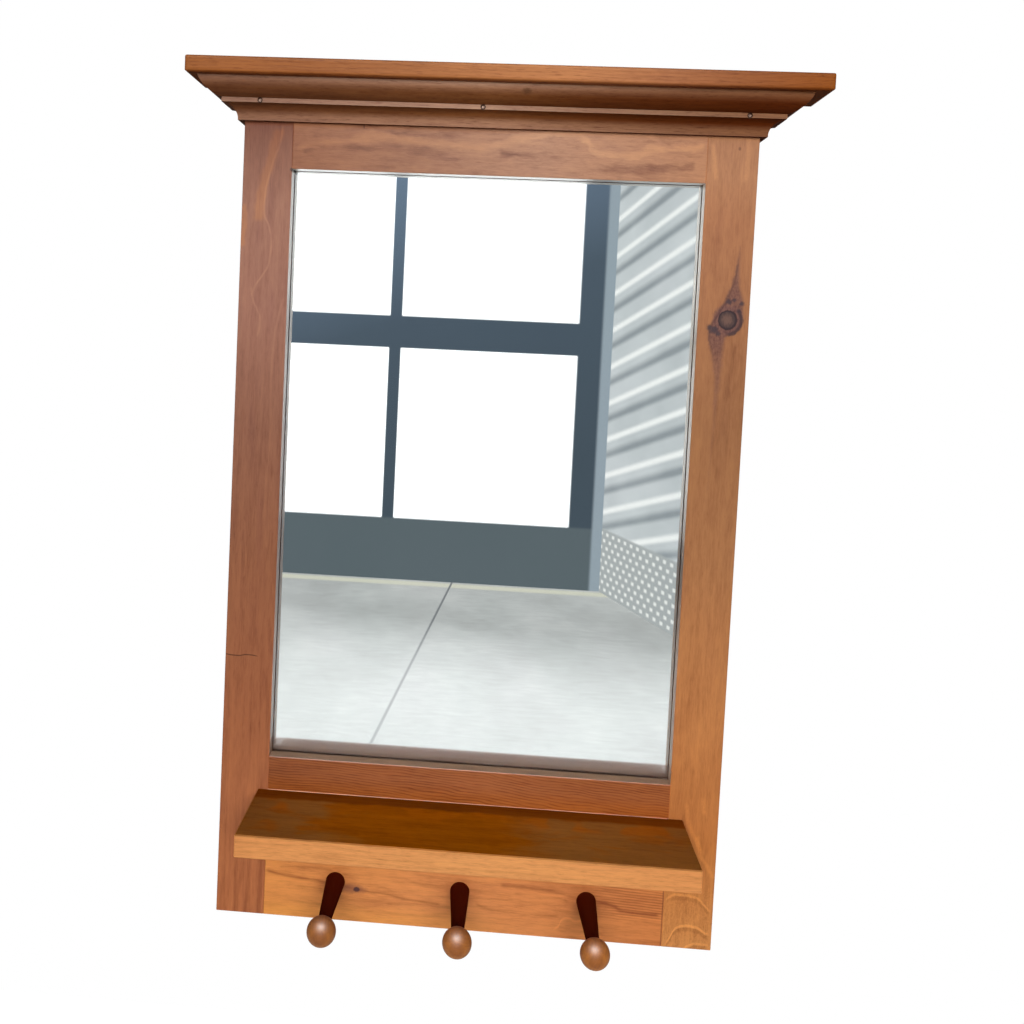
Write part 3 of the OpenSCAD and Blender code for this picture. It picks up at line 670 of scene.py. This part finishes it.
def shelf_wood():
    """Its top is stained yellow-brown, with painted reflections that make it greyer to the sides
    and orange in patches, and a painted shadow darkest along the back.
    """
    wood = Wood(
        "shelf_pine", "xyz",
        [(-170, (0.73, 0.300, 0.098)), (0, (0.755, 0.325, 0.109)), (170, (0.745, 0.303, 0.099))],
        seed=51.2, pith=(-70, -590), ring=3.6, warp=3.5, figure=0.16, streaks=0.26, clouds=0.20,
        mauve=0.1,
    )
    u, v = wood.u, wood.v
    ticks = wood.noise(u / 9, v / 0.9, wood.w / 0.9, detail=2).rise(0.2, 0.8)
    wood.darken(ticks, 0.3)
    top = wood.normal[2].rise(0.4, 0.9)
    # Painted reflections: greyer towards the sides and orange in clouds and patches.
    reflection_cloud = wood.noise(u / 45, v / 22, 6.0, detail=2, distortion=0.8)
    side = abs(u + 30 + reflection_cloud * 40).rise(55, 100)
    stain = wood.mix(side, (0.350, 0.205, 0.011), (0.325, 0.272, 0.155))
    stain = wood.mix(reflection_cloud.rise(0.0, 0.5) * 0.6, stain, (0.375, 0.218, 0.014))
    edge = v + wood.noise(u / 24, 3.0, 3.0) * 2.5
    reflection_patch = wood.noise(u / 26, v / 30, 9.0, detail=1).rise(0.0, 0.35) * edge.rise(-56, -48)
    stain = wood.mix(reflection_patch * 0.65, stain, (0.45, 0.250, 0.012))
    # Painted shadow: the darkest strip along the back of the top.
    stain = wood.mix(edge.rise(-36, -32), stain, (0.225, 0.130, 0.026))
    return wood.done(over=[(top, stain, "MULTIPLY")], wear=0.3, roughness=0.5, gloss=0.0,
                     specular=0.0)


def peg_wood(name, seed, tone):
    """The ball's front has this tone; the rest of the peg is stained dark red, painted near-black
    as painted shade.
    """
    wood = Wood(
        name, "yxz", [(0, tone)],
        seed=seed, pith=(seed * 7 % 30, -560), ring=2.2, warp=1.5, figure=0.20,
        streaks=0.24, clouds=0.18, mauve=0.1,
    )
    # The shank's near-black is partly its dark red stain and partly painted shade.
    stained = wood.y.rise(-80.5, -77.0)
    over = [(stained * 0.96, (0.062, 0.005, 0.0022))]
    return wood.done(over=over, wear=0.0, gloss=(1.0 - stained) * 0.9, specular=0.0,
                     coat_roughness=0.5)


# ---- Other materials ----


def beech():
    """Plain pale wood for the dowels."""
    wood = Wood(
        "dowel_beech", "xyz", [(0, (0.60, 0.42, 0.24))], seed=2.0, pith=(60, 40), ring=1.6,
        warp=1.0, figure=0.15, streaks=0.30, clouds=0.15,
    )
    return wood.done(wear=0.2, gloss=0.0, roughness=0.6)


def hardboard():
    """Brown pressed fibres with paler flecks."""
    paint = Paint("hardboard")
    fibres = paint.noise(paint.x / 1.1, paint.y, paint.z / 1.1, detail=5, roughness=0.7)
    flecks = paint.noise(paint.x / 2.5, paint.y, paint.z / 0.8, detail=2).rise(0.5, 1.1)
    stains = paint.noise(paint.x / 90, paint.y, paint.z / 90, detail=4)
    colour = paint.ramp(
        fibres * 0.5 + stains * 0.4,
        [(-1, (0.135, 0.076, 0.042)), (0, (0.235, 0.140, 0.080)), (1, (0.32, 0.205, 0.125))],
    )
    colour = paint.mix(flecks * 0.4, colour, (0.42, 0.30, 0.19))
    return paint.finish(colour, stains * 0.05 + 0.62, fibres, 0.08, Specular_IOR_Level=0.3)


def metal(name, bright, dull, rough, scale=6.0):
    """Metal that varies between two colours in clouds of about this size, in millimetres."""
    paint = Paint(name)
    cloud = paint.noise(paint.x / scale, paint.y / scale, paint.z / scale, detail=4)
    scratch = paint.noise(paint.x / 3, paint.y / 3, paint.z / 0.25, detail=2)
    colour = paint.mix((cloud + scratch * 0.3).rise(-0.7, 0.9), bright, dull)
    return paint.finish(colour, cloud * 0.08 + rough, scratch, 0.01, Metallic=1.0)


def pane():
    """Clear glass with a trace of haze."""
    paint = Paint("clear_pane")
    haze = paint.noise(paint.x / 60, paint.y, paint.z / 60, detail=3)
    colour = paint.mix(haze.rise(-0.5, 0.8), (0.97, 0.985, 0.98), (0.985, 0.99, 0.99))
    return paint.finish(colour, 0.0, Transmission_Weight=1.0, IOR=1.5)


def silver():
    """Silvered back of the glass, with the haze, dust and foxing that show through it, and a
    painted reflection in a dull band at its foot.
    """
    paint = Paint("silvering")
    x, z = paint.x, paint.z
    cloud = paint.noise(x / 70, 1.0, z / 110, detail=4, roughness=0.6)
    upper = z.rise(-260, -60) * x.rise(60, -120)
    dust = paint.noise(x / 1.5, 4.0, z / 1.5, detail=2)
    grain = (dust + upper * 0.35 + cloud * 0.2).rise(1.0, 1.4)
    border = union([
        abs(x).rise(OPENING_HALF - 11, OPENING_HALF), z.rise(OPENING_TOP - 12.5, OPENING_TOP - 1.5),
        z.rise(OPENING_FOOT + 13, OPENING_FOOT + 2),
    ])
    fox = (paint.noise(x / 9, 9.0, z / 9, detail=4) + border * 0.5).rise(1.35, 1.7)
    clear = (0.90, 0.92, 0.925)
    colour = paint.mix(cloud.rise(-0.4, 1.4) * 0.35, clear, (0.78, 0.81, 0.83))
    colour = paint.mix(grain * 0.75, colour, (0.95, 0.95, 0.93))
    colour = paint.mix(fox * 0.45, colour, (0.36, 0.35, 0.34))
    # Painted reflection: a dull brownish band at the glass's foot.
    dull = z.rise(OPENING_FOOT + 11.5, OPENING_FOOT + 9)
    colour = paint.mix(dull * 0.8, colour, (0.62, 0.50, 0.46))
    rough = (grain.greater(fox * 0.6) * 0.5 + cloud.rise(0.2, 1.6) * 0.02).greater(dull * 0.26)
    return paint.finish(colour, rough, Metallic=1.0)


# ---- The part's nodes ----


def dress(name, material):
    """Gives a node or piece its material."""
    mesh = nodes[name].data if name in nodes else bpy.data.objects[name].data
    mesh.materials.clear()
    mesh.materials.append(material)


dress("left_stile", left_stile_wood())
dress("right_stile", right_stile_wood())
dress("top_rail", top_rail_wood())
dress("middle_rail", middle_rail_wood())
dress("peg_rail", peg_rail_wood())
dress("cornice_board", cornice_board_wood())
dress("crown_front", moulding_wood("front_moulding_pine", "xzy", 61.0, [
    (-200, (0.305, 0.146, 0.087)), (-100, (0.387, 0.193, 0.115)), (-10, (0.455, 0.234, 0.139)),
    (60, (0.350, 0.168, 0.093)), (150, (0.276, 0.120, 0.058)), (215, (0.270, 0.110, 0.048)),
], nailed=True))
dress("crown_return_left", moulding_wood(
    "left_return_pine", "yzx", 63.5, [(0, (0.305, 0.146, 0.087))]))
dress("crown_return_right", moulding_wood(
    "right_return_pine", "yzx", 67.1, [(0, (0.270, 0.110, 0.048))]))
dress("shelf", shelf_wood())
for number, (side, tone) in enumerate((
    ("left", (0.365, 0.118, 0.0155)), ("centre", (0.41, 0.131, 0.016)),
    ("right", (0.455, 0.147, 0.0175)),
)):
    dress("peg_" + side, peg_wood("peg_wood_" + side, 71.0 + 3.7 * number, tone))
dowel_wood = beech()
for rail in ("top", "middle", "peg"):
    dress(rail + "_rail_dowels", dowel_wood)
zinc = metal("yellow_zinc", (0.78, 0.70, 0.44), (0.52, 0.44, 0.25), 0.32)
for name in ("board_screws", "shelf_screws", "hanger_screws"):
    dress(name, zinc)
plate_zinc = metal("plate_zinc", (0.76, 0.69, 0.48), (0.55, 0.48, 0.30), 0.36, scale=12.0)
for side in ("left", "right"):
    dress("hanger_plate_" + side, plate_zinc)
nail_steel = metal("nail_steel", (0.17, 0.115, 0.09), (0.08, 0.05, 0.04), 0.55, scale=1.5)
for name in ("crown_nails", "return_nails"):
    dress(name, nail_steel)
dress("glazing_points", metal("point_steel", (0.62, 0.63, 0.64), (0.40, 0.40, 0.40), 0.38))
dress("backing_panel", hardboard())
dress("mirror_glass", pane())


def silvering():
    """The silvered layer: a thin sheet behind the glass with a worn outline."""
    low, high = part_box("mirror_glass")
    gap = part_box("backing_panel")[0].y - high.y
    margin = 1.2 * MM
    wear = 0.35 * MM
    columns, rows = 48, 72
    mesh = bmesh.new()
    layers = []
    for y in (high.y + 0.25 * gap, high.y + 0.75 * gap):
        grid = []
        for row in range(rows + 1):
            line = []
            for column in range(columns + 1):
                across, up = column / columns, row / rows
                x = low.x + margin + across * (high.x - low.x - 2 * margin)
                z = low.z + margin + up * (high.z - low.z - 2 * margin)
                worn = wear * noise.noise(Vector((x, 0, z)) * 60)
                if column in (0, columns):
                    x += worn
                if row in (0, rows):
                    z += worn
                line.append(mesh.verts.new((x, y, z)))
            grid.append(line)
        layers.append(grid)
    front, back = layers
    for row in range(rows):
        for column in range(columns):
            for grid in (front, back):
                mesh.faces.new((
                    grid[row][column], grid[row][column + 1],
                    grid[row + 1][column + 1], grid[row + 1][column],
                ))
    outline = [(0, c) for c in range(columns)] + [(r, columns) for r in range(rows)]
    outline += [(rows, c) for c in range(columns, 0, -1)] + [(r, 0) for r in range(rows, 0, -1)]
    for (r0, c0), (r1, c1) in zip(outline, outline[1:] + outline[:1]):
        mesh.faces.new((front[r0][c0], back[r0][c0], back[r1][c1], front[r1][c1]))
    bmesh.ops.recalc_face_normals(mesh, faces=mesh.faces)
    data = bpy.data.meshes.new("mirror_silvering")
    mesh.to_mesh(data)
    mesh.free()
    piece = bpy.data.objects.new("mirror_silvering", data)
    bpy.context.scene.collection.objects.link(piece)
    data.materials.append(silver())
    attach(piece, "root")


silvering()


# ---- Floor, backdrop and light ----

# The floor and the two walls that the mirror shows, in metres.
FLOOR_Z = -1.40
WALL_TOP = 1.90
BACKDROP_Y = -4.40
FLOOR_FRONT_Y = 1.00
FLOOR_HALF = 3.20
BACKDROP_RIGHT = 0.64
SIDE_WALL = ((0.60, BACKDROP_Y), (1.45, -1.84))

# Strength of the even light on the object, and of the window's panes in the mirror.
AMBIENT = 0.12
PANE_LIGHT = 2.2


def stage_sheet(name, corners, material):
    """A flat four-cornered sheet that isn't part of the object."""
    data = bpy.data.meshes.new(name)
    data.from_pydata([Vector(corner) for corner in corners], [], [(0, 1, 2, 3)])
    data.materials.append(material)
    sheet = bpy.data.objects.new(name, data)
    bpy.context.scene.collection.objects.link(sheet)


def upright(start, end):
    """Corners of a wall on the floor along the line from start to end."""
    return [(*start, FLOOR_Z), (*end, FLOOR_Z), (*end, WALL_TOP), (*start, WALL_TOP)]


def stage_material(name, seen, diffuse, camera_white):
    """White to the camera; the mirror and the varnish reflect the seen colour instead."""
    paint = Paint(name)
    light = paint.add("ShaderNodeLightPath")
    camera = Value(paint, light.outputs["Is Camera Ray"])
    scattered = Value(paint, light.outputs["Is Diffuse Ray"])
    colour = paint.mix(camera, seen(paint), (camera_white,) * 3)
    emission = paint.add("ShaderNodeEmission")
    paint.set(emission.inputs["Color"], colour)
    paint.set(emission.inputs["Strength"], 1.0 - scattered)
    matt = paint.add("ShaderNodeBsdfDiffuse")
    paint.set(matt.inputs["Color"], (diffuse,) * 3)
    total = paint.add("ShaderNodeAddShader")
    paint.links.new(emission.outputs[0], total.inputs[0])
    paint.links.new(matt.outputs[0], total.inputs[1])
    output = paint.add("ShaderNodeOutputMaterial")
    paint.links.new(total.outputs[0], output.inputs[0])
    paint.material.cycles.emission_sampling = "NONE"
    return paint.material


def window_wall(paint):
    """Two by two bright panes in a dark blue-grey frame."""
    x, z = paint.x, paint.z
    columns = x.rise(-495, -505).greater(x.rise(-445, -435)) * x.rise(440, 425)
    rows = z.rise(-82, -70).greater(z.rise(-232, -242)) * z.rise(-1095, -1080)
    glass = columns * rows
    haze = (z - x * 0.35 + 900) / 1900
    frame_colour = paint.ramp(
        haze, [(0, (0.070, 0.095, 0.120)), (0.5, (0.085, 0.115, 0.150)), (1, (0.19, 0.26, 0.36))]
    )
    frame_colour = paint.mix(z.rise(-1080, -1100), frame_colour, (0.120, 0.150, 0.165))
    jamb = x.rise(540, 560) * x.rise(620, 600)
    frame_colour = paint.mix(jamb, frame_colour, (0.34, 0.40, 0.45))
    return paint.mix(glass, frame_colour, (PANE_LIGHT,) * 3)


def ribbed(paint):
    """Pale ribbed cladding over a band of pale studded plate."""
    wave = ((paint.z - (paint.y - BACKDROP_Y / MM) * 0.29) / 180).fraction()
    rib = wave.rise(0.0, 0.22) * wave.rise(1.0, 0.84)
    tone = paint.noise(paint.x / 400, paint.y / 400, paint.z / 300, detail=3)
    glint = wave.rise(0.30, 0.42) * wave.rise(0.58, 0.44)
    wall = paint.mix(rib * 0.75 + tone * 0.25, (0.33, 0.36, 0.38), (0.72, 0.75, 0.76))
    wall = paint.mix(glint, wall, (1.0, 1.0, 0.98))
    rows = (paint.z / 34).fraction()
    studs = ((paint.y / 62 + (paint.z / 68).fraction().rise(0.49, 0.51) * 0.5).fraction() - 0.5)
    studs = abs(studs).rise(0.30, 0.12) * abs(rows - 0.5).rise(0.34, 0.14)
    plate = paint.mix(studs, (0.46, 0.48, 0.48), (0.88, 0.88, 0.85))
    return paint.mix(paint.z.rise(-1075, -1090), wall, plate)


def floor_seen(paint):
    """Grey floor with clouds, fine streaks, a yellower far edge and one dark joint."""
    tone = paint.noise(paint.x / 300, paint.y / 500, 0.0, detail=5, roughness=0.6)
    tone = tone * 0.6 + paint.noise(paint.x / 90, paint.y / 26, 5.0, detail=4, roughness=0.7) * 0.5
    grey = paint.ramp(tone, [(-1, (0.34, 0.34, 0.33)), (0, (0.49, 0.50, 0.49)),
                             (1, (0.69, 0.69, 0.67))])
    far_edge = abs(paint.y + 4330).rise(60, 20)
    grey = paint.mix(far_edge * 0.8, grey, (0.72, 0.70, 0.56))
    joint = abs(paint.x + 160 + (paint.y + 4038) * 0.0798).rise(7, 3)
    return paint.mix(joint, grey, (0.20, 0.21, 0.22))


stage_sheet(
    "backdrop",
    upright((-FLOOR_HALF, BACKDROP_Y), (BACKDROP_RIGHT, BACKDROP_Y)),
    stage_material("backdrop_paint", window_wall, 0.0, 1.0),
)
stage_sheet(
    "side_wall", upright(*SIDE_WALL), stage_material("side_wall_paint", ribbed, 0.0, 1.0),
)
stage_sheet(
    "floor",
    [(-FLOOR_HALF, BACKDROP_Y, FLOOR_Z), (FLOOR_HALF, BACKDROP_Y, FLOOR_Z),
     (FLOOR_HALF, FLOOR_FRONT_Y, FLOOR_Z), (-FLOOR_HALF, FLOOR_FRONT_Y, FLOOR_Z)],
    stage_material("floor_paint", floor_seen, 0.35, 0.90),
)


def world():
    """White behind the object and an even light on it; reflections see a dim ceiling."""
    made = bpy.data.worlds.new("surroundings")
    bpy.context.scene.world = made
    sky = Tree(made)
    path = sky.add("ShaderNodeLightPath").outputs
    place = sky.parts(Value(sky, sky.add("ShaderNodeTexCoord").outputs["Generated"]))
    behind = place[1].rise(-0.2, 0.4)
    reflected = sky.mix(behind, (0.10, 0.105, 0.11), (0.12, 0.11, 0.10))
    lit = sky.mix(Value(sky, path["Is Glossy Ray"]), (AMBIENT,) * 3, reflected)
    shown = sky.mix(Value(sky, path["Is Camera Ray"]), lit, (1.0, 1.0, 1.0))
    background = sky.add("ShaderNodeBackground")
    sky.set(background.inputs["Color"], shown)
    output = sky.add("ShaderNodeOutputWorld")
    sky.links.new(background.outputs[0], output.inputs[0])


def soft_box(name, place, aim, size, power, diffuse=True):
    """A lamp that the mirror doesn't show. It lights without gleams, or makes gleams alone."""
    data = bpy.data.lights.new(name, "AREA")
    data.shape = "RECTANGLE"
    data.size, data.size_y = size
    data.energy = power
    lamp = bpy.data.objects.new(name, data)
    lamp.location = place
    lamp.rotation_euler = (Vector(aim) - Vector(place)).to_track_quat("-Z", "Y").to_euler()
    lamp.visible_diffuse = diffuse
    lamp.visible_glossy = not diffuse
    lamp.visible_transmission = False
    bpy.context.scene.collection.objects.link(lamp)


world()
soft_box("key", (0.5, -3.1, 0.45), (0.0, 0.0, -0.35), (2.8, 1.4), 138)
soft_box("back", (-1.2, 3.0, 1.2), (0.0, 0.0, -0.3), (2.0, 2.0), 60)
soft_box("gleam", (-0.09, -0.80, 0.62), (0.0, -0.09, -0.60), (1.0, 0.7), 88, diffuse=False)


# ---- Camera ----

# Solved from the photograph's perspective: lens in millimetres on a film 36 mm wide,
# place in metres and turn in degrees.
FILM_WIDTH = 36.0
LENS = 36.914
LENS_SHIFT = (0.0898, -0.1240)
CAMERA_PLACE = (0.00154, -0.82571, -0.15229)
CAMERA_TURN = (87.0972, -2.5998, 3.8388)

camera_data = bpy.data.cameras.new("camera")
camera_data.sensor_width = FILM_WIDTH
camera_data.lens = LENS
camera_data.shift_x, camera_data.shift_y = LENS_SHIFT
camera = bpy.data.objects.new("camera", camera_data)
camera.location = CAMERA_PLACE
camera.rotation_euler = Euler([math.radians(angle) for angle in CAMERA_TURN])
bpy.context.scene.collection.objects.link(camera)
bpy.context.scene.camera = camera

bpy.context.scene.view_settings.view_transform = "Standard"
